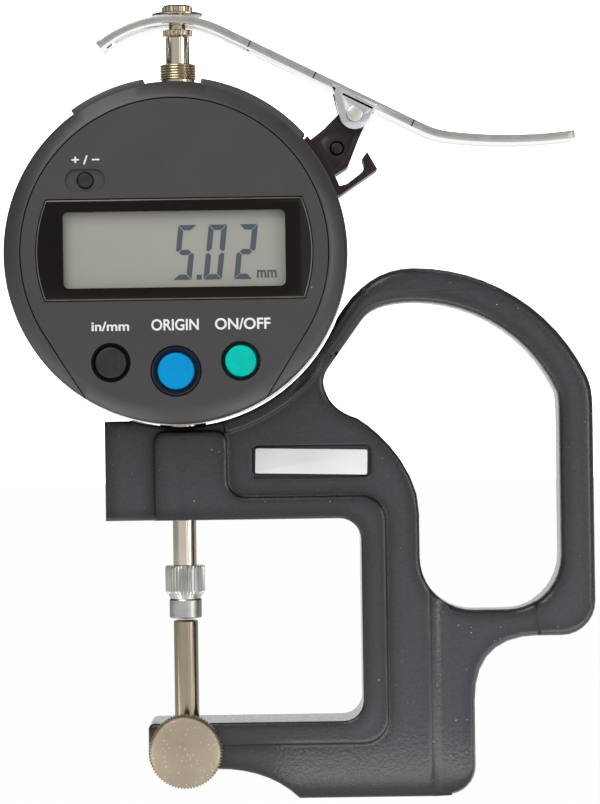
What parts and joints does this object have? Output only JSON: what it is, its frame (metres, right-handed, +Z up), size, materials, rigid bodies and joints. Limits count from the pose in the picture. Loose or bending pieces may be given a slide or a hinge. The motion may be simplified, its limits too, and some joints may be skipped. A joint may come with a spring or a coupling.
{
  "type": "digital thickness gauge",
  "caption": "Cast frame with a handle loop holds a round display head whose spring-loaded spindle meets a tall anvil post; a lever on the head lifts the spindle.",
  "frame": {"origin": "on the flat underside of the foot, midway between the ends of its flat and in the middle of the frame's thickness", "axes": "+Z up along the spindle, the display faces -Y, +X towards the handle loop"},
  "size_m": [0.1006, 0.0258, 0.137],
  "materials": {
    "cast_paint": "textured charcoal paint",
    "charcoal_plastic": "fine matt",
    "black_plastic": "matt",
    "window_black": "glossy",
    "display": "grey liquid crystal",
    "blue_plastic": "satin",
    "navy_plastic": "matt",
    "teal_plastic": "satin",
    "green_plastic": "matt",
    "steel": "ground",
    "nickel": "nickel plated, knurled",
    "chrome": "polished",
    "case_aluminium": "fine turned",
    "plate": "satin",
    "dark_metal": "black",
    "circuit_board": "lacquered",
    "contact_rubber": "soft",
    "scale_glass": "etched",
    "contact_brass": "plated"
  },
  "bodies": {
    "frame": {"frame": "cast_paint", "label_plate": "plate", "stem_set_screw": "dark_metal", "stem": "steel", "top_bush": "nickel", "rear_case": "case_aluminium", "data_connector": "black_plastic", "back_cover": "dark_metal", "cover_screw_1": "dark_metal", "cover_screw_2": "dark_metal", "cover_screw_3": "dark_metal", "cover_screw_4": "dark_metal", "battery": "steel", "battery_holder": "black_plastic", "battery_contact": "contact_brass", "detector_board": "circuit_board", "guide_rail": "steel", "spring_post": "steel", "return_spring": "steel", "lever_bracket": "black_plastic", "bracket_pin": "black_plastic"},
    "display_unit": {"front_bezel": "charcoal_plastic", "front_panel": "charcoal_plastic", "display_window": "window_black", "display_panel": "display", "display_connector": "contact_rubber", "main_board": "circuit_board", "keypad_membrane": "contact_rubber", "sign_key_dome": "contact_rubber", "unit_key_skirt": "black_plastic", "origin_key_skirt": "navy_plastic", "power_key_skirt": "green_plastic"},
    "unit_key": {"unit_key": "black_plastic"},
    "origin_key": {"origin_key": "blue_plastic"},
    "power_key": {"power_key": "teal_plastic"},
    "sign_key": {"sign_key": "black_plastic"},
    "spindle": {"spindle": "steel", "contact_point": "steel", "lift_lock_ring": "nickel", "lift_screw": "nickel", "lift_washer": "nickel", "scale_carrier": "case_aluminium", "measuring_scale": "scale_glass", "guide_pin": "steel", "spring_hook": "steel"},
    "lever": {"lever": "chrome", "lever_pin": "chrome"},
    "anvil": {"anvil_post": "steel"},
    "thumb_screw": {"thumb_screw": "nickel"},
    "battery_cover": {"battery_cover": "black_plastic"},
    "port_cover": {"port_cover": "black_plastic"}
  },
  "joints": [
    {"name": "spindle_slide", "type": "slide", "parent": "frame", "child": "spindle", "axis": [0, 0, 1], "range_m": [0, 0.0075], "stiffness_N_per_m": 40, "springref_m": -0.03, "deforming": ["return_spring"]},
    {"name": "lever_pivot", "type": "hinge", "parent": "frame", "child": "lever", "pos_m": [-0.00161, 0, 0.1173], "axis": [0, 1, 0], "range_deg": [0, 13.7]},
    {"name": "display_turn", "type": "hinge", "parent": "frame", "child": "display_unit", "pos_m": [-0.0324, -0.013, 0.0935], "axis": [0, 1, 0], "range_deg": [-165, 165]},
    {"name": "unit_key_press", "type": "slide", "parent": "display_unit", "child": "unit_key", "axis": [0, 1, 0], "range_m": [0, 0.0005], "stiffness_N_per_m": 600, "springref_m": -0.0005},
    {"name": "origin_key_press", "type": "slide", "parent": "display_unit", "child": "origin_key", "axis": [0, 1, 0], "range_m": [0, 0.0005], "stiffness_N_per_m": 600, "springref_m": -0.0005},
    {"name": "power_key_press", "type": "slide", "parent": "display_unit", "child": "power_key", "axis": [0, 1, 0], "range_m": [0, 0.0005], "stiffness_N_per_m": 600, "springref_m": -0.0005},
    {"name": "sign_key_press", "type": "slide", "parent": "display_unit", "child": "sign_key", "axis": [0, 1, 0], "range_m": [0, 0.0005], "stiffness_N_per_m": 600, "springref_m": -0.0005},
    {"name": "anvil_height", "type": "slide", "parent": "frame", "child": "anvil", "axis": [0, 0, 1], "range_m": [-0.004, 0]},
    {"name": "thumb_screw_turn", "type": "hinge", "parent": "frame", "child": "thumb_screw", "pos_m": [-0.032, -0.009, 0.0088], "axis": [0, -1, 0], "range_deg": [0, 180]},
    {"name": "battery_cover_turn", "type": "hinge", "parent": "frame", "child": "battery_cover", "pos_m": [-0.0437, 0.008, 0.0812], "axis": [0, 1, 0], "range_deg": [0, 60]},
    {"name": "port_cover_pull", "type": "slide", "parent": "frame", "child": "port_cover", "axis": [-1, 0, 0], "range_m": [0, 0.01]}
  ],
  "couplings": [
    {"joint": "lever_pivot", "follows": "spindle_slide", "rad_per_m": 31.746}
  ]
}
